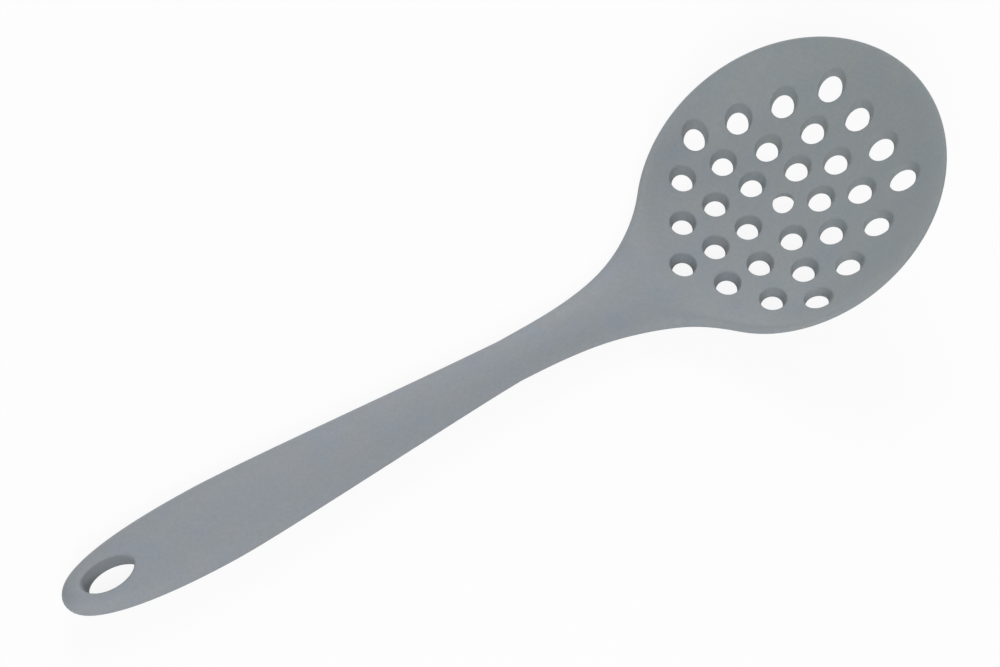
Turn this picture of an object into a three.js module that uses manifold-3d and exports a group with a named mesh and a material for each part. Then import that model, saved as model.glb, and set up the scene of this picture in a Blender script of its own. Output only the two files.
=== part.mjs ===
// Silicone skimmer: a perforated, dished head on a long handle, one silicone moulding over a stiff core.
// Millimetres, +Z up, lying on a table. +X points from the handle to the lip of the head.
import * as THREE from 'three';
import { mergeVertices } from 'three/addons/utils/BufferGeometryUtils.js';
import Module from 'manifold-3d';

const { clamp, degToRad, lerp, smoothstep } = THREE.MathUtils;

// Plan of the outside, from the head's widest line (X = 0) forward to the lip and back to the handle's end
const HEAD_WIDTH = 98.9;
const LIP_REACH = 50.8;
const NECK_REACH = 110.3;
const NECK_WIDTH = 16.1;
const NECK_TO_GRIP = 111.8;
const GRIP_WIDTH = 29.0;
const GRIP_TO_END = 54.3;

// How the plan's curves leave and enter their stations, as shares of the stretch that they cross
const END_SQUARENESS = 0.73;
const END_FULLNESS = 0.57;
const GRIP_FULLNESS = 0.17;
const NECK_ENTRY = 0.27;
const NECK_ENTRY_SLOPE = -0.043;
const NECK_EXIT = 0.28;
const NECK_EXIT_SLOPE = 0.031;
const SHOULDER_EASE = 30.3;
const SHOULDER_SHARE = 0.775;

// Thickness of the handle at its stations, and how high its underside lies above the table there
const END_THICKNESS = 10.1;
const END_LIFT = 2.4;
const END_ROUNDING = 6.0;
const GRIP_THICKNESS = 12.8;
const NECK_THICKNESS = 9.2;
const NECK_LIFT = 2.2;
const HEEL_REACH = 66.0;
const HEEL_THICKNESS = 9.1;
const FLOOR_REACH = 36.0;
const FLOOR_HEIGHT = 4.3;
const BEND_EASE = 10.0;

// Bowl of the head: heights are those of the middle of its wall
const RIM_HEIGHT = 27.2;
const RIM_PITCH = 23.9;
const BOWL_DEPTH = 16.4;
const BOWL_SQUARENESS = 3.5;
const HEEL_BLEND = 8.4;
const RIM_BLEND = 0.12;
const WALL_HEEL = 5.7;
const WALL_LIP = 3.6;
const RIM_THINNING = 1.7;
const RIM_TAPER = 8;

// Drain holes: a centre hole and rings of 5, 10 and 15 with corners on five rays: back, sides and front.
// Between the corners the outer rings bow outwards, and the back rows lean towards the side rays.
const HOLE_DIAMETER = 8.1;
const HOLE_DRAFT = 11.0;
const CENTRE_HOLE_DRAFT = -15.0;
const CENTRE_HOLE_X = -0.2;
const RINGS_X = -1.4;
const RAY_PITCH = 12.82;
const BACK_RAY_PITCH = 13.18;
const SIDE_RAY_ANGLE = 106.5;
const FRONT_RAY_ANGLE = 33.0;
const BACK_LEAN = 1.0;
const RINGS = [
  { holes: 1, backBow: 0, sideBow: 0, frontBow: 0 },
  { holes: 2, backBow: 1.3, sideBow: 0, frontBow: 0 },
  { holes: 3, backBow: 2.4, sideBow: 1.7, frontBow: 1.8 },
];

// Hanging eye at the handle's end, leaning towards it upwards
const EYE_SETBACK = 17.0;
const EYE_LENGTH = 18.2;
const EYE_WIDTH = 10.0;
const EYE_LEAN = 9.5;
const EYE_ROUNDING = 1.3;

// Core: follows the outside at one skin's depth, from the eye to a spade end in the heel before the holes
const SKIN = 1.8;
const CLEARANCE = 0.3;
const SPADE_LENGTH = 14.0;
const SPADE_MARGIN = 3.5;
const KEY_COUNT = 5;
const KEY_LENGTH = 13.0;
const KEY_WIDTH = 5.0;
const KEY_MARGIN = 12.0;
const PIN_DIAMETER = 3.0;
const PIN_SEAT_DEPTH = 0.8;

// Fineness of the curved surfaces
const END_STEPS = 10;
const GRIP_STEPS = 10;
const NECK_STEPS = 12;
const SHOULDER_STEPS = 8;
const LIP_STEPS = 14;
const SPADE_STEPS = 6;
const BODY_ROWS = { edge: 3, flat: 10 };
const CORE_ROWS = { edge: 3, flat: 2 };
const HOLE_SIDES = 14;
const EYE_SIDES = 14;
const EYE_ROUNDING_STEPS = 3;
const KEY_SIDES = 5;
const PIN_SIDES = 10;
const WELD = 1e-4;

// Places that follow from the sizes above
const NECK_X = -NECK_REACH;
const GRIP_X = NECK_X - NECK_TO_GRIP;
const END_X = GRIP_X - GRIP_TO_END;
const EYE_X = END_X + EYE_SETBACK;
const HEEL_X = -HEEL_REACH;
const FLOOR_X = -FLOOR_REACH;
const ABOVE_ALL = RIM_HEIGHT + LIP_REACH + GRIP_THICKNESS;

const wasm = await Module();
wasm.setup();

function solid(geometry) {
  geometry.deleteAttribute('normal');
  geometry.deleteAttribute('uv');
  const merged = mergeVertices(geometry, WELD);
  const vertProperties = new Float32Array(merged.attributes.position.array);
  const triVerts = new Uint32Array(merged.index.array);
  return new wasm.Manifold(new wasm.Mesh({ numProp: 3, vertProperties, triVerts }));
}

function joined(solids) {
  return solids.reduce((sum, next) => sum.add(next));
}

// Straight runs between stations [x, value], with each corner eased over BEND_EASE either way
function alongStations(stations, x) {
  const next = stations.findIndex(([at]) => at >= x);
  if (next === 0) return stations[0][1];
  if (next < 0) return stations.at(-1)[1];
  const [x0, value0] = stations[next - 1];
  const [x1, value1] = stations[next];
  return lerp(value0, value1, (x - x0) / (x1 - x0));
}

function eased(stations, x) {
  const samples = [-1, -0.75, -0.5, -0.25, 0, 0.25, 0.5, 0.75, 1];
  const values = samples.map((share) => alongStations(stations, x + share * BEND_EASE));
  return values.reduce((sum, value) => sum + value) / samples.length;
}

const HANDLE_MIDDLE = [
  [END_X, END_LIFT + END_THICKNESS / 2],
  [GRIP_X, GRIP_THICKNESS / 2],
  [NECK_X, NECK_LIFT + NECK_THICKNESS / 2],
  [HEEL_X, HEEL_THICKNESS / 2],
  [FLOOR_X, FLOOR_HEIGHT],
];

const HANDLE_HALF = [
  [END_X, END_THICKNESS / 2],
  [GRIP_X, GRIP_THICKNESS / 2],
  [NECK_X, NECK_THICKNESS / 2],
  [HEEL_X, HEEL_THICKNESS / 2],
];

function smoothMax(a, b, blend) {
  const overlap = Math.max(blend - Math.abs(a - b), 0);
  return Math.max(a, b) + overlap ** 2 / (4 * blend);
}

// Share of the way from the head's centre (0) to its rim (1)
function headShare(x, y) {
  return Math.hypot(x / LIP_REACH, y / (HEAD_WIDTH / 2));
}

// Height of the middle of the wall: the pitched bowl, running at the heel into the line of the handle
function middle(x, y) {
  const share = -smoothMax(-headShare(x, y), -1, RIM_BLEND);
  const rimPlane = RIM_HEIGHT + Math.tan(degToRad(RIM_PITCH)) * x;
  const bowl = rimPlane - BOWL_DEPTH * (1 - share ** BOWL_SQUARENESS);
  return smoothMax(bowl, eased(HANDLE_MIDDLE, x), HEEL_BLEND);
}

// The bowl's wall thins evenly from the heel to the lip, and more at its rim
function wall(x, y) {
  const forward = (1 + x / LIP_REACH) / 2;
  const rim = Math.min(headShare(x, y), 1) ** RIM_TAPER;
  return WALL_HEEL - forward * (WALL_HEEL - WALL_LIP + RIM_THINNING * rim);
}

function halfThickness(x, y) {
  return lerp(eased(HANDLE_HALF, x), wall(x, y) / 2, smoothstep(x, HEEL_X, FLOOR_X));
}

function roundedEnd(distance, reach) {
  return Math.sqrt(1 - (1 - clamp(distance / reach, 0, 1)) ** 2);
}

// Left half of the plan from the handle's end to the lip: three curves and the head's elliptical arc
function outsideOutline() {
  const headHalf = HEAD_WIDTH / 2;
  const gripHalf = GRIP_WIDTH / 2;
  const neckHalf = NECK_WIDTH / 2;
  const shoulderAngle = Math.acos(-SHOULDER_SHARE);
  const head = (from, to) => new THREE.EllipseCurve(0, 0, LIP_REACH, headHalf, from, to, true);
  const shoulderArc = head(shoulderAngle, Math.PI / 2);
  const shoulder = shoulderArc.getPoint(0);
  const shoulderControl = shoulder.clone().addScaledVector(shoulderArc.getTangent(0), -SHOULDER_EASE);
  const entry = NECK_TO_GRIP * NECK_ENTRY;
  const exit = (shoulder.x - NECK_X) * NECK_EXIT;
  const at = (x, y) => new THREE.Vector2(x, y);
  const grip = at(GRIP_X, gripHalf);
  const neck = at(NECK_X, neckHalf);
  const endControl = at(END_X, gripHalf * END_SQUARENESS);
  const endToGripControl = at(GRIP_X - GRIP_TO_END * END_FULLNESS, gripHalf);
  const gripControl = at(GRIP_X + NECK_TO_GRIP * GRIP_FULLNESS, gripHalf);
  const neckControl = at(NECK_X - entry, neckHalf - entry * NECK_ENTRY_SLOPE);
  const exitControl = at(NECK_X + exit, neckHalf + exit * NECK_EXIT_SLOPE);
  const stretches = [
    [new THREE.CubicBezierCurve(at(END_X, 0), endControl, endToGripControl, grip), END_STEPS],
    [new THREE.CubicBezierCurve(grip, gripControl, neckControl, neck), GRIP_STEPS],
    [new THREE.CubicBezierCurve(neck, exitControl, shoulderControl, shoulder), NECK_STEPS],
    [shoulderArc, SHOULDER_STEPS],
    [head(Math.PI / 2, 0), LIP_STEPS],
  ];
  const inner = stretches.flatMap(([curve, steps]) => curve.getSpacedPoints(steps).slice(1));
  return [at(END_X, 0), ...inner.slice(0, -1), at(LIP_REACH, 0)];
}

function tangentAt(outline, i) {
  const before = outline[Math.max(i - 1, 0)];
  const after = outline[Math.min(i + 1, outline.length - 1)];
  return after.clone().sub(before).normalize();
}

// Closed skin over an outline: one section at each of its points, closed to a point at both ends.
// A section is flat in its middle, with elliptical edges as wide as band(x, halfWidth, slope).
function loft(outline, rows, half, band) {
  const first = outline[0];
  const last = outline.at(-1);
  const sections = outline.slice(1, -1).map((point, i) => {
    const tangent = tangentAt(outline, i + 1);
    const edge = band(point.x, point.y, tangent.y / tangent.x);
    return sectionPoints(point, edge, rows, half);
  });
  const around = sections[0].length;
  const tipIndex = 1 + sections.length * around;
  const at = (section, k) => 1 + section * around + (k % around);
  const index = [];
  for (let k = 0; k < around; k += 1) {
    index.push(0, at(0, k + 1), at(0, k));
    index.push(at(sections.length - 1, k), at(sections.length - 1, k + 1), tipIndex);
    for (let s = 0; s + 1 < sections.length; s += 1) {
      index.push(at(s, k), at(s, k + 1), at(s + 1, k));
      index.push(at(s, k + 1), at(s + 1, k + 1), at(s + 1, k));
    }
  }
  const ends = [first, last].map((end) => new THREE.Vector3(end.x, 0, middle(end.x, 0)));
  const geometry = new THREE.BufferGeometry();
  geometry.setFromPoints([ends[0], ...sections.flat(), ends[1]]);
  geometry.setIndex(index);
  return solid(geometry);
}

// One section's points, from its left edge over the top to the right edge and back underneath
function sectionPoints(point, edge, rows, half) {
  const flat = point.y - edge;
  const left = [];
  for (let k = 0; k <= rows.edge; k += 1) {
    const angle = (k / rows.edge) * (Math.PI / 2);
    left.push({ y: flat + edge * Math.cos(angle), lift: Math.sin(angle) });
  }
  const across = [];
  for (let k = 1; k < rows.flat; k += 1) across.push({ y: flat * (1 - (2 * k) / rows.flat), lift: 1 });
  const right = left.map(({ y, lift }) => ({ y: -y, lift })).reverse();
  const top = [...left, ...across, ...right];
  const under = top.slice(1, -1).reverse().map(({ y, lift }) => ({ y, lift: -lift }));
  return [...top, ...under].map(({ y, lift }) => {
    const z = middle(point.x, y) + lift * half(point.x, y);
    return new THREE.Vector3(point.x, y, z);
  });
}

// Handle sections are full ovals, and the bowl's rim is rounded over the thickness of its wall
const OVAL_SHARE = 0.9;

function outsideSolid() {
  const half = (x, y) => {
    const lipEnd = roundedEnd(LIP_REACH - x, (WALL_LIP - RIM_THINNING) / 2);
    const ends = roundedEnd(x - END_X, END_ROUNDING) * lipEnd;
    return halfThickness(x, y) * ends;
  };
  const band = (x, halfWidth, slope) => {
    const oval = OVAL_SHARE * halfWidth;
    const rim = halfThickness(x, halfWidth) * Math.hypot(1, slope);
    return Math.min(oval, lerp(oval, rim, smoothstep(x, HEEL_X, FLOOR_X)));
  };
  return loft(outsideOutline(), BODY_ROWS, half, band);
}

// Holes of one ring on the left of the middle line, from the back ray round to the front
function leftOfRing({ holes, backBow, sideBow, frontBow }) {
  const onRay = (pitch, angle) => {
    const turn = degToRad(angle);
    return new THREE.Vector2(Math.cos(turn), Math.sin(turn)).multiplyScalar(holes * pitch);
  };
  const back = onRay(BACK_RAY_PITCH, 180);
  const side = onRay(RAY_PITCH, SIDE_RAY_ANGLE);
  const front = onRay(RAY_PITCH, FRONT_RAY_ANGLE);
  const acrossFront = onRay(RAY_PITCH, -FRONT_RAY_ANGLE);
  const row = (from, to, bow, lean) => Array.from({ length: holes }, (_, k) => {
    const share = k / holes;
    const run = to.clone().sub(from);
    const along = run.clone().normalize();
    const outward = new THREE.Vector2(-along.y, along.x).addScaledVector(along, lean / 2);
    const swell = bow * 4 * share * (1 - share) * lerp(1, 2 * share, lean);
    return from.clone().addScaledVector(run, share).addScaledVector(outward, swell);
  });
  const backRow = row(back, side, backBow, BACK_LEAN);
  const spots = [...backRow, ...row(side, front, sideBow, 0), ...row(front, acrossFront, frontBow, 0)];
  return spots.filter((spot) => spot.y > -WELD);
}

// Centres of the drain holes in plan, with their drafts
function drainHoles() {
  const ringHoles = RINGS.flatMap(leftOfRing).flatMap(({ x, y }) => {
    const sides = y > WELD ? [y, -y] : [0];
    return sides.map((side) => ({ centre: new THREE.Vector2(RINGS_X + x, side), draft: HOLE_DRAFT }));
  });
  return [{ centre: new THREE.Vector2(CENTRE_HOLE_X, 0), draft: CENTRE_HOLE_DRAFT }, ...ringHoles];
}

// Drain holes run along the mould's draw: by their draft the rings' open upwards, the centre one downwards
function drainCutter({ centre, draft }) {
  const reach = 2 * WALL_HEEL;
  const flare = Math.tan(degToRad(draft)) * reach;
  const radius = HOLE_DIAMETER / 2;
  const cone = new THREE.CylinderGeometry(radius + flare, radius - flare, 2 * reach, HOLE_SIDES);
  cone.rotateX(Math.PI / 2);
  cone.translate(centre.x, centre.y, middle(centre.x, centre.y));
  return solid(cone);
}

// Upright prism over a plan shape, through everything
function uprightPrism(shape, sides) {
  const options = { depth: 2 * ABOVE_ALL, bevelEnabled: false, curveSegments: sides };
  const prism = new THREE.ExtrudeGeometry(shape, options);
  prism.translate(0, 0, -ABOVE_ALL);
  return solid(prism);
}

function eyeShape(margin) {
  const shape = new THREE.Shape();
  return shape.absellipse(EYE_X, 0, EYE_LENGTH / 2 + margin, EYE_WIDTH / 2 + margin, 0, 2 * Math.PI);
}

function leaned(shape) {
  const slope = Math.tan(degToRad(EYE_LEAN));
  const datum = middle(EYE_X, 0);
  return shape.warp((point) => {
    point[0] -= slope * (point[2] - datum);
  });
}

// The eye's opening: straight through the handle, with mouths rounded out into its top and underside
function eyeCutter() {
  const half = halfThickness(EYE_X + EYE_LENGTH / 2, 0);
  const spool = new THREE.ExtrudeGeometry(eyeShape(EYE_ROUNDING), {
    depth: 2 * (half - EYE_ROUNDING),
    bevelThickness: EYE_ROUNDING,
    bevelSize: -EYE_ROUNDING,
    bevelSegments: EYE_ROUNDING_STEPS,
    curveSegments: EYE_SIDES,
  });
  spool.translate(0, 0, middle(EYE_X, 0) - half + EYE_ROUNDING);
  return leaned(uprightPrism(eyeShape(0), EYE_SIDES).add(solid(spool)));
}

// Key windows along the core, spread evenly from the neck to the eye
function keyPlaces() {
  const front = NECK_X - KEY_MARGIN;
  const back = EYE_X + EYE_LENGTH / 2 + SKIN + KEY_MARGIN;
  return Array.from({ length: KEY_COUNT }, (_, i) => lerp(front, back, i / (KEY_COUNT - 1)));
}

function keyPrism(x, shrink) {
  const radius = KEY_WIDTH / 2 - shrink;
  const straight = (KEY_LENGTH - KEY_WIDTH) / 2;
  const shape = new THREE.Shape();
  shape.absarc(x + straight, 0, radius, -Math.PI / 2, Math.PI / 2);
  shape.absarc(x - straight, 0, radius, Math.PI / 2, (3 * Math.PI) / 2);
  return uprightPrism(shape, KEY_SIDES);
}

// The core's form at a given depth under the outside, with its key windows and eye made smaller by shrink
function coreForm(depth, shrink) {
  const firstHole = Math.min(...drainHoles().map(({ centre }) => centre.x)) - HOLE_DIAMETER / 2;
  const tipX = firstHole - SPADE_MARGIN - depth;
  const outside = outsideOutline();
  const offset = outside.map((point, i) => {
    const tangent = tangentAt(outside, i);
    return new THREE.Vector2(point.x + depth * tangent.y, Math.max(point.y - depth * tangent.x, 0));
  });
  const spadeX = tipX - SPADE_LENGTH;
  const sides = offset.filter((point) => point.x < spadeX);
  const widths = offset.map((point) => [point.x, point.y]);
  const spade = Array.from({ length: SPADE_STEPS + 1 }, (_, k) => {
    const angle = (k / SPADE_STEPS) * (Math.PI / 2);
    const x = spadeX + SPADE_LENGTH * Math.sin(angle);
    return new THREE.Vector2(x, alongStations(widths, x) * Math.cos(angle));
  });
  const outline = [...sides, ...spade];
  const half = (x, y) => {
    const ends = roundedEnd(x - outline[0].x, END_ROUNDING) * roundedEnd(tipX - x, SKIN);
    return (halfThickness(x, y) - depth) * ends;
  };
  const form = loft(outline, CORE_ROWS, half, (x, halfWidth) => OVAL_SHARE * halfWidth);
  const windows = keyPlaces().map((x) => keyPrism(x, shrink));
  const eye = leaned(uprightPrism(eyeShape(SKIN - shrink), EYE_SIDES));
  return form.subtract(joined([eye, ...windows]));
}

// Pins that hold the core in the mould leave a hole through the underside midway between the key windows
function pinCutter(x, top) {
  const pin = new THREE.CylinderGeometry(PIN_DIAMETER / 2, PIN_DIAMETER / 2, ABOVE_ALL, PIN_SIDES);
  pin.rotateX(Math.PI / 2);
  pin.translate(x, 0, top - ABOVE_ALL / 2);
  return solid(pin);
}

function pinPlaces() {
  return keyPlaces().slice(1).map((x, i) => (x + keyPlaces()[i]) / 2);
}

function siliconeBody() {
  const drains = joined(drainHoles().map(drainCutter));
  const pins = joined(pinPlaces().map((x) => pinCutter(x, middle(x, 0))));
  const cavity = coreForm(SKIN - CLEARANCE, CLEARANCE);
  return outsideSolid().subtract(drains).subtract(eyeCutter()).subtract(cavity).subtract(pins);
}

function core() {
  const seatTop = (x) => middle(x, 0) - halfThickness(x, 0) + SKIN + PIN_SEAT_DEPTH;
  const seats = joined(pinPlaces().map((x) => pinCutter(x, seatTop(x))));
  return coreForm(SKIN, 0).subtract(seats);
}

function piece(name, shape, material) {
  const { vertProperties, triVerts } = shape.getMesh();
  const geometry = new THREE.BufferGeometry();
  geometry.setAttribute('position', new THREE.BufferAttribute(vertProperties, 3));
  geometry.setIndex(new THREE.BufferAttribute(triVerts, 1));
  geometry.computeVertexNormals();
  const mesh = new THREE.Mesh(geometry, new THREE.MeshStandardMaterial(material));
  mesh.name = name;
  return mesh;
}

const skimmer = new THREE.Group();
skimmer.add(piece('silicone_body', siliconeBody(), { color: 0x8f9398, roughness: 0.6, metalness: 0 }));
skimmer.add(piece('core', core(), { color: 0x2b2d30, roughness: 0.5, metalness: 0 }));

// The origin is the middle of the part on the table
const box = new THREE.Box3().setFromObject(skimmer);
const centre = box.getCenter(new THREE.Vector3());
skimmer.position.set(-centre.x, -centre.y, -box.min.z);

export default skimmer;
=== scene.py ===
"""Looks of the silicone skimmer: one seamless silicone skin over the core, lit on a white table."""
import math

import bpy
import numpy as np
from mathutils import Matrix, Vector
from mathutils.geometry import delaunay_2d_cdt


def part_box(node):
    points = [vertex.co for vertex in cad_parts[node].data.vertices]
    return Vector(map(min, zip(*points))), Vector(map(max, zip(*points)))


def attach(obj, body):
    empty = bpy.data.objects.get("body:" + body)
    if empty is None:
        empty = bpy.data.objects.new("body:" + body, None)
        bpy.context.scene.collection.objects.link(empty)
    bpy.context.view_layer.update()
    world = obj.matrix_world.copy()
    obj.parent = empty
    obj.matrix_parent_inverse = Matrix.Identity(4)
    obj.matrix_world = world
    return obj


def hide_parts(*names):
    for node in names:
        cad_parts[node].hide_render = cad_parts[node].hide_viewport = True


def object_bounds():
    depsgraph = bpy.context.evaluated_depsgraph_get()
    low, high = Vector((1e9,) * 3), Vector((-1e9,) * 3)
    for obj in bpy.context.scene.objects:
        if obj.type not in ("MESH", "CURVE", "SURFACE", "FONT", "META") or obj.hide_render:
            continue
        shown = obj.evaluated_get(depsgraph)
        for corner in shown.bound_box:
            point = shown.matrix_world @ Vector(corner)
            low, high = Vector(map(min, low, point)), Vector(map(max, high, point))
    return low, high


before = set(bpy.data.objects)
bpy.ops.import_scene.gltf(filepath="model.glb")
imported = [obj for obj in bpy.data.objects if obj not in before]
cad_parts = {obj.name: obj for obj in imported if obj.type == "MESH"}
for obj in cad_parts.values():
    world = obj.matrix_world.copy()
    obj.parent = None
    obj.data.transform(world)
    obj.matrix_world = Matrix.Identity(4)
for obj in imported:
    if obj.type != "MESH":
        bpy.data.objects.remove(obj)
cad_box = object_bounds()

MM = 0.001

# Plan of the outside in millimetres, from the head's widest line (X = 0) to the lip and to
# the handle's end
HEAD_WIDTH = 98.9
LIP_REACH = 50.8
NECK_REACH = 110.3
NECK_WIDTH = 16.1
NECK_TO_GRIP = 111.8
GRIP_WIDTH = 29.0
GRIP_TO_END = 54.3

# How the plan's curves leave and enter their stations, as shares of the stretch that they cross
END_SQUARENESS = 0.73
END_FULLNESS = 0.57
GRIP_FULLNESS = 0.17
NECK_ENTRY = 0.27
NECK_ENTRY_SLOPE = -0.043
NECK_EXIT = 0.28
NECK_EXIT_SLOPE = 0.031
SHOULDER_EASE = 30.3
SHOULDER_SHARE = 0.775

# Thickness of the handle at its stations, and how high its underside lies above the table there
END_THICKNESS = 10.1
END_LIFT = 2.4
END_ROUNDING = 6.0
GRIP_THICKNESS = 12.8
NECK_THICKNESS = 9.2
NECK_LIFT = 2.2
HEEL_REACH = 66.0
HEEL_THICKNESS = 9.1
FLOOR_REACH = 36.0
FLOOR_HEIGHT = 4.3
BEND_EASE = 10.0
OVAL_SHARE = 0.9

# Bowl of the head: heights are those of the middle of its wall
RIM_HEIGHT = 27.2
RIM_PITCH = math.radians(23.9)
BOWL_DEPTH = 16.4
BOWL_SQUARENESS = 3.5
HEEL_BLEND = 8.4
RIM_BLEND = 0.12
WALL_HEEL = 5.7
WALL_LIP = 3.6
RIM_THINNING = 1.7
RIM_TAPER = 8.0

# Drain holes: a centre hole and rings of 5, 10 and 15 with corners on five rays, to the back, the sides
# and the front. Between the corners the outer rings bow outwards, and the back rows lean towards the
# side rays. Roundings are those of the mouths on the top (1) and on the underside (-1).
HOLE_DIAMETER = 8.1
HOLE_DRAFT = math.radians(11.0)
HOLE_ROUNDING = {1: 0.6, -1: 0.3}
CENTRE_HOLE_DRAFT = math.radians(-15.0)
CENTRE_HOLE_ROUNDING = {1: 0.35, -1: 0.2}
CENTRE_HOLE_X = -0.2
RINGS_X = -1.4
RAY_PITCH = 12.82
BACK_RAY_PITCH = 13.18
SIDE_RAY_ANGLE = math.radians(106.5)
FRONT_RAY_ANGLE = math.radians(33.0)
BACK_LEAN = 1.0
RINGS = (
    {"holes": 1, "back": 0.0, "side": 0.0, "front": 0.0},
    {"holes": 2, "back": 1.3, "side": 0.0, "front": 0.0},
    {"holes": 3, "back": 2.4, "side": 1.7, "front": 1.8},
)

# Hanging eye, and the wells left in the underside by the pins that held the core in the mould
EYE_SETBACK = 17.0
EYE_LENGTH = 18.2
EYE_WIDTH = 10.0
EYE_LEAN = math.radians(9.5)
EYE_ROUNDING = {1: 1.3, -1: 1.3}
SKIN = 1.8
KEY_COUNT = 5
KEY_MARGIN = 12.0
PIN_DIAMETER = 3.0
PIN_ROUNDING = 0.4
PIN_SEAT_DEPTH = 0.8
PIN_OVERRUN = 0.3

# Fineness of the skin's mesh, in millimetres and in steps
CURVE_SAMPLES = 400
EASE_SAMPLES = 9
OUTLINE_STEP = 1.5
GRID_STEP = 1.5
GRID_MARGIN = 0.6
EDGE_ROWS = 7
HANDLE_EDGE_RADIUS = 8.0
HANDLE_EDGE_ANGLE = math.radians(45.0)
PARTING_RIDGE = 0.05
HOLE_SIDES = 40
EYE_SIDES = 72
PIN_SIDES = 24
ROUNDING_STEPS = 5
TINY = 1e-6

# Places that follow from the sizes above
NECK_X = -NECK_REACH
GRIP_X = NECK_X - NECK_TO_GRIP
END_X = GRIP_X - GRIP_TO_END
EYE_X = END_X + EYE_SETBACK
HEEL_X = -HEEL_REACH
FLOOR_X = -FLOOR_REACH
HEAD_HALF = HEAD_WIDTH / 2

# Camera of the photograph: turned about Z, tilted from straight down, and aimed beside the head
CAMERA_TURN = math.radians(31.449)
CAMERA_TILT = math.radians(27.103)
CAMERA_DISTANCE = 850.0
CAMERA_RIGHT = -97.355
CAMERA_UP = -43.426
CAMERA_DATUM = 9.73
CAMERA_LENS = 89.126
SENSOR_WIDTH = 36.0


def smoothstep(x, start, end):
    t = np.clip((x - start) / (end - start), 0.0, 1.0)
    return t * t * (3.0 - 2.0 * t)


def smooth_max(a, b, blend):
    overlap = np.maximum(blend - np.abs(a - b), 0.0)
    return np.maximum(a, b) + overlap**2 / (4.0 * blend)


def rounded_end(distance, reach):
    return np.sqrt(1.0 - (1.0 - np.clip(distance / reach, 0.0, 1.0)) ** 2)


HANDLE_STATIONS = (END_X, GRIP_X, NECK_X, HEEL_X, FLOOR_X)
HANDLE_MIDDLE = (
    END_LIFT + END_THICKNESS / 2,
    GRIP_THICKNESS / 2,
    NECK_LIFT + NECK_THICKNESS / 2,
    HEEL_THICKNESS / 2,
    FLOOR_HEIGHT,
)
HANDLE_HALF = (END_THICKNESS / 2, GRIP_THICKNESS / 2, NECK_THICKNESS / 2, HEEL_THICKNESS / 2)


def eased(values, x):
    """Straight runs between the handle's stations, each corner eased over BEND_EASE either way."""
    stations = HANDLE_STATIONS[:len(values)]
    shares = np.linspace(-1.0, 1.0, EASE_SAMPLES)
    return sum(np.interp(x + share * BEND_EASE, stations, values) for share in shares) / len(shares)


def head_share(x, y):
    """Share of the way from the head's centre (0) to its rim (1)."""
    return np.hypot(x / LIP_REACH, y / HEAD_HALF)


def middle(x, y):
    """Height of the middle of the wall: the pitched bowl, running at the heel into the handle."""
    share = -smooth_max(-head_share(x, y), -1.0, RIM_BLEND)
    rim_plane = RIM_HEIGHT + math.tan(RIM_PITCH) * x
    bowl = rim_plane - BOWL_DEPTH * (1.0 - share**BOWL_SQUARENESS)
    return smooth_max(bowl, eased(HANDLE_MIDDLE, x), HEEL_BLEND)


def wall(x, y):
    """The bowl's wall thins evenly from the heel to the lip, and more at its rim."""
    forward = (1.0 + x / LIP_REACH) / 2
    thinning = WALL_HEEL - WALL_LIP + RIM_THINNING * np.minimum(head_share(x, y), 1.0) ** RIM_TAPER
    return WALL_HEEL - forward * thinning


def half_thickness(x, y):
    handle = eased(HANDLE_HALF, x)
    return handle + (wall(x, y) / 2 - handle) * smoothstep(x, HEEL_X, FLOOR_X)


def bezier(*controls):
    t = np.linspace(0.0, 1.0, CURVE_SAMPLES)[:, None]
    p0, p1, p2, p3 = (np.array(p, float) for p in controls)
    return (1 - t) ** 3 * p0 + 3 * (1 - t) ** 2 * t * p1 + 3 * (1 - t) * t**2 * p2 + t**3 * p3


def left_outline():
    """Left half of the plan from the handle's end to the lip: even points and inward normals."""
    grip = np.array((GRIP_X, GRIP_WIDTH / 2))
    neck = np.array((NECK_X, NECK_WIDTH / 2))
    start = math.acos(-SHOULDER_SHARE)
    shoulder = np.array((LIP_REACH * math.cos(start), HEAD_HALF * math.sin(start)))
    run = np.array((LIP_REACH * math.sin(start), -HEAD_HALF * math.cos(start)))
    run /= np.linalg.norm(run)
    entry = NECK_TO_GRIP * NECK_ENTRY * np.array((1.0, NECK_ENTRY_SLOPE))
    leave = (shoulder[0] - NECK_X) * NECK_EXIT * np.array((1.0, NECK_EXIT_SLOPE))
    angles = np.linspace(start, 0.0, CURVE_SAMPLES)
    end_side = (END_X, GRIP_WIDTH / 2 * END_SQUARENESS)
    stretches = (
        bezier((END_X, 0.0), end_side, grip - (GRIP_TO_END * END_FULLNESS, 0.0), grip),
        bezier(grip, grip + (NECK_TO_GRIP * GRIP_FULLNESS, 0.0), neck - entry, neck),
        bezier(neck, neck + leave, shoulder - run * SHOULDER_EASE, shoulder),
        np.stack((LIP_REACH * np.cos(angles), HEAD_HALF * np.sin(angles)), axis=1),
    )
    dense = np.concatenate([stretches[0]] + [stretch[1:] for stretch in stretches[1:]])
    travel = np.concatenate(([0.0], np.cumsum(np.hypot(*np.diff(dense, axis=0).T))))
    even = np.linspace(0.0, travel[-1], round(travel[-1] / OUTLINE_STEP) + 1)
    points = np.stack([np.interp(even, travel, dense[:, axis]) for axis in (0, 1)], axis=1)
    points[[0, -1], 1] = 0.0
    along = np.gradient(points, axis=0)
    along[0] = (0.0, 1.0)
    along[-1] = (0.0, -1.0)
    along /= np.linalg.norm(along, axis=1)[:, None]
    return points, np.stack((along[:, 1], -along[:, 0]), axis=1)


OUTLINE, INWARD = left_outline()


def half_width(x):
    return np.interp(x, OUTLINE[:, 0], OUTLINE[:, 1])


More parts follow.
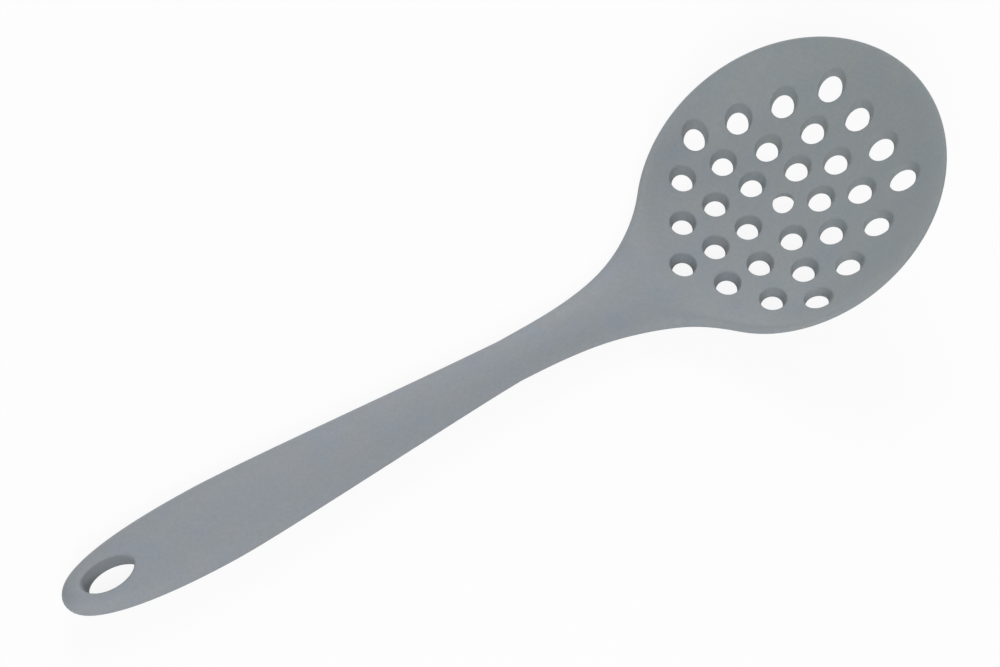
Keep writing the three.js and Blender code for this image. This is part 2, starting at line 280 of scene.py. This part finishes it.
def lift(x, y):
    """Share of the half thickness over the plan: oval handle sections, and a rounded rim."""
    width = half_width(x)
    across = (np.abs(y) / np.maximum(width, TINY) - 1.0 + OVAL_SHARE) / OVAL_SHARE
    oval = np.sqrt(1.0 - np.clip(across, 0.0, 1.0) ** 2) * rounded_end(x - END_X, END_ROUNDING)
    behind = (width - np.abs(y)) * np.interp(x, OUTLINE[:, 0], -INWARD[:, 1])
    slope = np.hypot(x / LIP_REACH**2, y / HEAD_HALF**2)
    ahead = (1.0 - head_share(x, y) ** 2) / np.maximum(2.0 * slope, TINY)
    rim = rounded_end(np.where(x < 0.0, behind, ahead), wall(x, y) / 2)
    return oval + (rim - oval) * smoothstep(x, HEEL_X, FLOOR_X)


def surface(plan, side):
    """Points of the top (side 1) or the underside (side -1) over points of the plan."""
    x, y = plan[:, 0], plan[:, 1]
    return np.stack((x, y, middle(x, y) + side * half_thickness(x, y) * lift(x, y)), axis=1)


def on_ray(distance, angle):
    return distance * np.array((math.cos(angle), math.sin(angle)))


def hole_row(start, end, count, bow, lean):
    """Holes from one ray to the next without the last, bowed outwards in between."""
    share = np.arange(count)[:, None] / count
    run = end - start
    along = run / np.linalg.norm(run)
    outward = np.array((-along[1], along[0])) + along * lean / 2
    swell = bow * 4.0 * share * (1.0 - share) * (1.0 - lean + 2.0 * lean * share)
    return start + run * share + outward * swell


def ring_holes():
    """Centres of the rings' holes in plan."""
    holes = []
    for ring in RINGS:
        count = ring["holes"]
        back = on_ray(count * BACK_RAY_PITCH, math.pi)
        side = on_ray(count * RAY_PITCH, SIDE_RAY_ANGLE)
        front = on_ray(count * RAY_PITCH, FRONT_RAY_ANGLE)
        across = on_ray(count * RAY_PITCH, -FRONT_RAY_ANGLE)
        spots = np.concatenate((
            hole_row(back, side, count, ring["back"], BACK_LEAN),
            hole_row(side, front, count, ring["side"], 0.0),
            hole_row(front, across, count, ring["front"], 0.0),
        ))
        for x, y in spots[spots[:, 1] > -TINY]:
            places = (y, -y) if y > TINY else (0.0,)
            holes += [(RINGS_X + x, place) for place in places]
    return holes


def opening(centre, length, width, rounding, sides, draft=0.0, lean=0.0, cap=None):
    """An oval opening in the skin: cap is the height where a well stops, or None for a hole."""
    angles = np.linspace(0.0, 2.0 * math.pi, sides, endpoint=False)
    return {
        "centre": np.array(centre),
        "half": np.array((length / 2, width / 2)),
        "ring": np.stack((np.cos(angles), np.sin(angles)), axis=1),
        "rounding": rounding,
        "draft": math.tan(draft),
        "lean": np.array((-math.tan(lean), 0.0)),
        "cap": cap,
    }


def ring_plan(hole, rise, margin=0.0):
    """The opening's outline in plan, at one rise above its middle or one for each point."""
    rise = np.broadcast_to(np.asarray(rise, float), len(hole["ring"]))[:, None]
    half = hole["half"] + rise * hole["draft"] + margin
    return hole["centre"] + rise * hole["lean"] + hole["ring"] * half


def mouth(hole, side):
    """Rings from the outer edge of the opening's rounded mouth to the straight wall inside it."""
    datum = middle(*hole["centre"])
    rounding = hole["rounding"][side]
    rise = surface(ring_plan(hole, 0.0), side)[:, 2] - datum
    outer = surface(ring_plan(hole, rise, rounding), side)
    corner = surface(ring_plan(hole, rise), side)
    depth = corner[:, 2] - side * rounding
    inner = np.column_stack((ring_plan(hole, depth - datum), depth))
    shares = np.linspace(0.0, 1.0, ROUNDING_STEPS + 1)
    return [(1 - t) ** 2 * outer + 2 * t * (1 - t) * corner + t**2 * inner for t in shares]


class Skin:
    """Points and faces of one closed mesh."""

    def __init__(self):
        self.points = []
        self.faces = []

    def add(self, points):
        first = len(self.points)
        self.points.extend(points.tolist())
        return np.arange(first, first + len(points))

    def strip(self, outer, inner, outward):
        """Faces between two closed rings of as many points."""
        for i in range(len(outer)):
            k = (i + 1) % len(outer)
            face = (outer[i], outer[k], inner[k], inner[i])
            self.faces.append(face if outward else face[::-1])


def inside(polygon, points):
    """Which points lie inside a closed polygon."""
    start = polygon
    end = np.roll(polygon, -1, axis=0)
    x, y = points[:, 0:1], points[:, 1:2]
    crosses = (start[:, 1] > y) != (end[:, 1] > y)
    rise = np.where(end[:, 1] == start[:, 1], 1.0, end[:, 1] - start[:, 1])
    at = start[:, 0] + (y - start[:, 1]) / rise * (end[:, 0] - start[:, 0])
    return (crosses & (x < at)).sum(axis=1) % 2 == 1


def nearest(points, targets):
    return np.sqrt(((points[:, None] - targets[None]) ** 2).sum(axis=2)).min(axis=1)


def grid_points(loop, rings):
    """Points of a triangular grid inside the loop and clear of it and of the openings' rings."""
    row = GRID_STEP * math.sqrt(3.0) / 2
    points = []
    for j in range(-int(HEAD_HALF / row), int(HEAD_HALF / row) + 1):
        shift = GRID_STEP / 2 if j % 2 else 0.0
        xs = np.arange(END_X + shift, LIP_REACH, GRID_STEP)
        xs = xs[half_width(xs) > abs(j) * row]
        points.append(np.column_stack((xs, np.full(len(xs), j * row))))
    points = np.concatenate(points)
    points = points[inside(loop, points)]
    for boundary in [loop] + rings:
        if boundary is not loop:
            points = points[~inside(boundary, points)]
        points = points[nearest(points, boundary) > GRID_MARGIN * GRID_STEP]
    return points


def fill(skin, loop, loop_points, rings, ring_points, side):
    """Fills the surface inside the loop and outside the rings with triangles over a fine grid."""
    grid = grid_points(loop, rings)
    indices = np.concatenate([loop_points] + ring_points + [skin.add(surface(grid, side))])
    plan = np.concatenate([loop] + rings + [grid])
    edges = []
    first = 0
    for boundary in [loop] + rings:
        count = len(boundary)
        edges += [(first + i, first + (i + 1) % count) for i in range(count)]
        first += count
    result = delaunay_2d_cdt([Vector(p) for p in plan], edges, [], 0, TINY)
    faces, origins = result[2], result[3]
    source = [ids[0] for ids in origins]
    triangles = np.array([[source[v] for v in face] for face in faces])
    centres = plan[triangles].mean(axis=1)
    keep = inside(loop, centres)
    for ring in rings:
        keep &= ~inside(ring, centres)
    a, b, c = (plan[triangles[:, k]] for k in range(3))
    area = (b[:, 0] - a[:, 0]) * (c[:, 1] - a[:, 1]) - (b[:, 1] - a[:, 1]) * (c[:, 0] - a[:, 0])
    for triangle, turn in zip(indices[triangles[keep]], area[keep]):
        skin.faces.append(tuple(triangle if turn * side > 0 else triangle[::-1]))


def openings():
    """The openings right through the skin, and the pins' wells in its underside."""
    hole = (HOLE_DIAMETER, HOLE_DIAMETER)
    eye = (EYE_LENGTH, EYE_WIDTH)
    pin = (PIN_DIAMETER, PIN_DIAMETER)
    centre = (CENTRE_HOLE_X, 0.0)
    through = [opening(centre, *hole, CENTRE_HOLE_ROUNDING, HOLE_SIDES, draft=CENTRE_HOLE_DRAFT)]
    for spot in ring_holes():
        through.append(opening(spot, *hole, HOLE_ROUNDING, HOLE_SIDES, draft=HOLE_DRAFT))
    through.append(opening((EYE_X, 0.0), *eye, EYE_ROUNDING, EYE_SIDES, lean=EYE_LEAN))
    keys = np.linspace(NECK_X - KEY_MARGIN, EYE_X + EYE_LENGTH / 2 + SKIN + KEY_MARGIN, KEY_COUNT)
    wells = []
    for x in (keys[1:] + keys[:-1]) / 2:
        seat = middle(x, 0.0) - half_thickness(x, 0.0) + SKIN + PIN_SEAT_DEPTH
        cap = seat + PIN_OVERRUN
        wells.append(opening((x, 0.0), *pin, {-1: PIN_ROUNDING}, PIN_SIDES, cap=cap))
    return through, wells


def skin_mesh():
    """The outside as one closed mesh: rows round the edge, top and underside, and the openings."""
    mirror = np.array((1.0, -1.0))
    loop = np.concatenate((OUTLINE, OUTLINE[-2:0:-1] * mirror))
    inward = np.concatenate((INWARD, INWARD[-2:0:-1] * mirror))
    head = smoothstep(loop[:, 0], HEEL_X, FLOOR_X)
    half = half_thickness(loop[:, 0], loop[:, 1])
    radius = HANDLE_EDGE_RADIUS + (half - HANDLE_EDGE_RADIUS) * head
    angle = HANDLE_EDGE_ANGLE + (math.pi / 2 - HANDLE_EDGE_ANGLE) * head
    edge_height = middle(loop[:, 0], loop[:, 1])
    skin = Skin()
    edge = skin.add(np.column_stack((loop - inward * PARTING_RIDGE, edge_height)))
    through, wells = openings()
    walls = {}
    for side in (1, -1):
        previous = edge
        for row in range(1, EDGE_ROWS + 1):
            plan = loop + inward * (radius * (1.0 - np.cos(angle * row / EDGE_ROWS)))[:, None]
            current = skin.add(surface(plan, side))
            skin.strip(previous, current, side < 0)
            previous = current
        shown = through if side > 0 else through + wells
        rings = []
        ring_points = []
        for number, hole in enumerate(shown):
            edges = mouth(hole, side)
            rows = [skin.add(points) for points in edges]
            for outer, inner in zip(rows, rows[1:]):
                skin.strip(outer, inner, side > 0)
            rings.append(edges[0][:, :2])
            ring_points.append(rows[0])
            walls[side, number] = rows[-1]
        fill(skin, plan, previous, rings, ring_points, side)
    for number in range(len(through)):
        skin.strip(walls[1, number], walls[-1, number], True)
    for number, well in enumerate(wells, len(through)):
        plan = ring_plan(well, 0.0)
        top = skin.add(np.column_stack((plan, np.full(len(plan), well["cap"]))))
        skin.strip(top, walls[-1, number], True)
        skin.faces.append(tuple(top[::-1]))
    return skin


def silicone_piece():
    """The skin as a piece, and where its plan's origin lies in the part's frame, in millimetres."""
    skin = skin_mesh()
    points = np.array(skin.points)
    low, high = (np.array(corner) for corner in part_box("silicone_body"))
    offset = np.array((high[0] / MM - LIP_REACH, 0.0, low[2] / MM - points[:, 2].min()))
    mesh = bpy.data.meshes.new("silicone_skin")
    faces = [[int(v) for v in face] for face in skin.faces]
    mesh.from_pydata(((points + offset) * MM).tolist(), [], faces)
    mesh.validate()
    mesh.polygons.foreach_set("use_smooth", [True] * len(mesh.polygons))
    piece = bpy.data.objects.new("silicone_skin", mesh)
    bpy.context.scene.collection.objects.link(piece)
    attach(piece, "root")
    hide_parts("silicone_body")
    return piece, offset


def node_material(name):
    material = bpy.data.materials.new(name)
    material.use_nodes = True
    nodes = material.node_tree.nodes
    return material, nodes, material.node_tree.links, nodes["Principled BSDF"]


def own_place(nodes):
    """The object's own coordinates, in metres."""
    node = nodes.get("Texture Coordinate") or nodes.new("ShaderNodeTexCoord")
    return node.outputs["Object"]


def noise(nodes, links, scale, detail, roughness=0.5):
    """Noise over the object's own coordinates: scale is in features per metre."""
    texture = nodes.new("ShaderNodeTexNoise")
    texture.inputs["Scale"].default_value = scale
    texture.inputs["Detail"].default_value = detail
    texture.inputs["Roughness"].default_value = roughness
    links.new(own_place(nodes), texture.inputs["Vector"])
    return texture.outputs["Fac"]


def ramp(nodes, links, value, stops):
    """Colour ramp over a value: stops are its two ends, each a position and a colour."""
    node = nodes.new("ShaderNodeValToRGB")
    for element, (position, colour) in zip(node.color_ramp.elements, stops):
        element.position = position
        element.color = (*colour, 1.0)
    links.new(value, node.inputs["Fac"])
    return node.outputs["Color"]


def multiplied(nodes, links, a, b):
    node = nodes.new("ShaderNodeMix")
    node.data_type = "RGBA"
    node.blend_type = "MULTIPLY"
    node.inputs["Factor"].default_value = 1.0
    links.new(a, node.inputs["A"])
    links.new(b, node.inputs["B"])
    return node.outputs["Result"]


def grey(level):
    return (level, level, level)


def along_part(nodes, links, start, end):
    """0 to 1 along the part's own X, from start to end in metres."""
    parts = nodes.new("ShaderNodeSeparateXYZ")
    links.new(own_place(nodes), parts.inputs["Vector"])
    span = nodes.new("ShaderNodeMapRange")
    span.inputs["From Min"].default_value = start
    span.inputs["From Max"].default_value = end
    links.new(parts.outputs["X"], span.inputs["Value"])
    return span.outputs["Result"]


def surface_bump(nodes, links, shader, height, strength, depth):
    bump = nodes.new("ShaderNodeBump")
    bump.inputs["Strength"].default_value = strength
    bump.inputs["Distance"].default_value = depth
    links.new(height, bump.inputs["Height"])
    links.new(bump.outputs["Normal"], shader.inputs["Normal"])


# Silicone: linear colours of its cooler and warmer clouds, and its painted light tints in the handle
# and in the head, which stand in for how the lamps' light falls on each and not for its pigment, with
# the places along the part, in metres, between which one tint turns into the other
SILICONE_COOL = (0.256, 0.286, 0.316)
SILICONE_WARM = (0.277, 0.294, 0.309)
HANDLE_PAINTED_LIGHT_TINT = (1.0, 1.0, 1.01)
HEAD_PAINTED_LIGHT_TINT = (0.985, 1.0, 0.965)
PAINTED_LIGHT_START = 0.04
PAINTED_LIGHT_END = 0.14
CLOUDS = {"scale": 95.0, "detail": 3.0}
GRAIN = {"scale": 900.0, "detail": 2.0}
GRAIN_DARK = 0.965
GRAIN_LIGHT = 1.035
SPECKS = {"scale": 1500.0, "detail": 1.0}
SPECK_EDGE = 0.74
SPECK_CORE = 0.8
SPECK_LIGHT = 1.12
SILICONE_FINISH = {"scale": 300.0, "detail": 3.0}
SILICONE_SMOOTH = 0.58
SILICONE_ROUGH = 0.7
SILICONE_TEXTURE = {"scale": 2200.0, "detail": 3.0, "roughness": 0.6}
SILICONE_BUMP = 0.12
SILICONE_BUMP_DEPTH = 0.0002
SILICONE_IOR = 1.41
SHEEN_WEIGHT = 0.06
SHEEN_ROUGHNESS = 0.5

# Nylon of the core: the linear greys of its matrix and of its fibres, and its finish
FIBRES = {"scale": 1400.0, "detail": 4.0, "roughness": 0.7}
FIBRES_START = 0.35
NYLON_DARK = 0.02
NYLON_LIGHT = 0.045
NYLON_FINISH = {"scale": 500.0, "detail": 3.0}
NYLON_SMOOTH = 0.45
NYLON_ROUGH = 0.6
NYLON_BUMP = 0.2
NYLON_BUMP_DEPTH = 0.0001

# Range of the noise's values that holds most of them
NOISE_LOW = 0.3
NOISE_HIGH = 0.7


def noise_ramp(nodes, links, texture, low, high):
    """A ramp between two colours over most of a noise's range."""
    return ramp(nodes, links, noise(nodes, links, **texture), ((NOISE_LOW, low), (NOISE_HIGH, high)))


def silicone_material():
    """Matte pigmented silicone: faint clouds of colour, a fine grain, and a few specks of dust."""
    material, nodes, links, shader = node_material("silicone")
    colour = noise_ramp(nodes, links, CLOUDS, SILICONE_COOL, SILICONE_WARM)
    towards_lip = along_part(nodes, links, PAINTED_LIGHT_START, PAINTED_LIGHT_END)
    specks = noise(nodes, links, **SPECKS)
    layers = (
        # painted light: the handle's and the head's tints stand in for how the light falls on them, not
        # for a change of pigment
        ramp(nodes, links, towards_lip, ((0.0, HANDLE_PAINTED_LIGHT_TINT), (1.0, HEAD_PAINTED_LIGHT_TINT))),
        noise_ramp(nodes, links, GRAIN, grey(GRAIN_DARK), grey(GRAIN_LIGHT)),
        ramp(nodes, links, specks, ((SPECK_EDGE, grey(1.0)), (SPECK_CORE, grey(SPECK_LIGHT)))),
    )
    for layer in layers:
        colour = multiplied(nodes, links, colour, layer)
    links.new(colour, shader.inputs["Base Color"])
    finish = noise_ramp(nodes, links, SILICONE_FINISH, grey(SILICONE_SMOOTH), grey(SILICONE_ROUGH))
    links.new(finish, shader.inputs["Roughness"])
    texture = noise(nodes, links, **SILICONE_TEXTURE)
    surface_bump(nodes, links, shader, texture, SILICONE_BUMP, SILICONE_BUMP_DEPTH)
    shader.inputs["IOR"].default_value = SILICONE_IOR
    shader.inputs["Sheen Weight"].default_value = SHEEN_WEIGHT
    shader.inputs["Sheen Roughness"].default_value = SHEEN_ROUGHNESS
    return material


def nylon_material():
    """Dark glass-filled nylon: fine fibres just under a matte skin."""
    material, nodes, links, shader = node_material("core_nylon")
    fibres = noise(nodes, links, **FIBRES)
    stops = ((FIBRES_START, grey(NYLON_DARK)), (NOISE_HIGH, grey(NYLON_LIGHT)))
    links.new(ramp(nodes, links, fibres, stops), shader.inputs["Base Color"])
    finish = noise_ramp(nodes, links, NYLON_FINISH, grey(NYLON_SMOOTH), grey(NYLON_ROUGH))
    links.new(finish, shader.inputs["Roughness"])
    surface_bump(nodes, links, shader, fibres, NYLON_BUMP, NYLON_BUMP_DEPTH)
    return material


# Studio: a pale floor that is seen as white with a faint shadow, an even sky that is seen as white, and
# two soft lamps across the view, a low one beyond the part and a higher one on the camera's side of it.
# Lengths are in metres and powers in watts.
FLOOR_SIZE = 6.0
FLOOR_ALBEDO = 0.9
FLOOR_WHITE_SHARE = 0.9
SKY_LEVEL = 0.28
SKY_WHITE_SHARE = 1.0
WHITE = (1.0, 1.0, 1.0, 1.0)
LAMP_SIZE = 0.9
LAMPS = (
    {"name": "lamp_beyond", "shift": 1.125, "height": 0.55, "power": 9.5},
    {"name": "lamp_front", "shift": -0.9, "height": 0.9, "power": 10.5},
)


def seen_rays(nodes, links):
    """1 for rays from the camera, also mirrored ones or ones let through, and 0 for other light."""
    path = nodes.new("ShaderNodeLightPath")
    total = path.outputs["Is Camera Ray"]
    for kind in ("Is Glossy Ray", "Is Transmission Ray"):
        either = nodes.new("ShaderNodeMath")
        either.operation = "MAXIMUM"
        links.new(total, either.inputs[0])
        links.new(path.outputs[kind], either.inputs[1])
        total = either.outputs["Value"]
    return total


def white_where_seen(nodes, links, lit, white, share):
    """The lit shader, with a share of the white one in the rays that are seen."""
    seen = nodes.new("ShaderNodeMath")
    seen.operation = "MULTIPLY"
    seen.inputs[1].default_value = share
    links.new(seen_rays(nodes, links), seen.inputs[0])
    both = nodes.new("ShaderNodeMixShader")
    links.new(seen.outputs["Value"], both.inputs["Fac"])
    links.new(lit, both.inputs[1])
    links.new(white, both.inputs[2])
    return both.outputs["Shader"]


def floor():
    bpy.ops.mesh.primitive_plane_add(size=FLOOR_SIZE, location=(0.0, 0.0, cad_box[0].z))
    plane = bpy.context.object
    plane.name = "floor"
    material, nodes, links, shader = node_material("floor_white")
    shader.inputs["Base Color"].default_value = (*grey(FLOOR_ALBEDO), 1.0)
    shader.inputs["Roughness"].default_value = 1.0
    shader.inputs["Specular IOR Level"].default_value = 0.0
    lit = shader.outputs["BSDF"]
    white = nodes.new("ShaderNodeEmission").outputs["Emission"]
    both = white_where_seen(nodes, links, lit, white, FLOOR_WHITE_SHARE)
    links.new(both, nodes["Material Output"].inputs["Surface"])
    plane.data.materials.append(material)


def sky():
    world = bpy.data.worlds.new("white_sky")
    world.use_nodes = True
    nodes, links = world.node_tree.nodes, world.node_tree.links
    lit = nodes["Background"]
    lit.inputs["Color"].default_value = WHITE
    lit.inputs["Strength"].default_value = SKY_LEVEL
    white = nodes.new("ShaderNodeBackground")
    white.inputs["Color"].default_value = WHITE
    outputs = (lit.outputs["Background"], white.outputs["Background"])
    both = white_where_seen(nodes, links, *outputs, SKY_WHITE_SHARE)
    links.new(both, nodes["World Output"].inputs["Surface"])
    bpy.context.scene.world = world


def view_axes():
    """The photograph's right, up and back directions in the part's frame."""
    right = Vector((math.cos(CAMERA_TURN), -math.sin(CAMERA_TURN), 0.0))
    level = Vector((-math.sin(CAMERA_TURN), -math.cos(CAMERA_TURN), 0.0))
    back = level * math.sin(CAMERA_TILT) + Vector((0.0, 0.0, math.cos(CAMERA_TILT)))
    return right, back.cross(right), back


def lamps():
    up = view_axes()[1]
    away = Vector((up.x, up.y, 0.0)).normalized()
    for lamp in LAMPS:
        data = bpy.data.lights.new(lamp["name"], "AREA")
        data.shape = "DISK"
        data.size = LAMP_SIZE
        data.energy = lamp["power"]
        light = bpy.data.objects.new(lamp["name"], data)
        light.location = away * lamp["shift"] + Vector((0.0, 0.0, lamp["height"]))
        light.rotation_euler = light.location.to_track_quat("Z", "Y").to_euler()
        bpy.context.scene.collection.objects.link(light)


def camera(offset):
    """The photograph's camera: offset is where the plan's origin lies, in millimetres."""
    right, up, back = view_axes()
    place = right * CAMERA_RIGHT + up * CAMERA_UP + back * CAMERA_DISTANCE
    datum = Vector(offset) + Vector((0.0, 0.0, CAMERA_DATUM))
    data = bpy.data.cameras.new("camera")
    data.sensor_width = SENSOR_WIDTH
    data.lens = CAMERA_LENS
    viewer = bpy.data.objects.new("camera", data)
    turn = Matrix((right, up, back)).transposed().to_4x4()
    viewer.matrix_world = Matrix.Translation((place + datum) * MM) @ turn
    bpy.context.scene.collection.objects.link(viewer)
    bpy.context.scene.camera = viewer


def main():
    piece, offset = silicone_piece()
    piece.data.materials.append(silicone_material())
    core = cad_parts["core"]
    core.data.materials.clear()
    core.data.materials.append(nylon_material())
    floor()
    sky()
    lamps()
    camera(offset)
    bpy.context.scene.view_settings.view_transform = "Standard"


main()
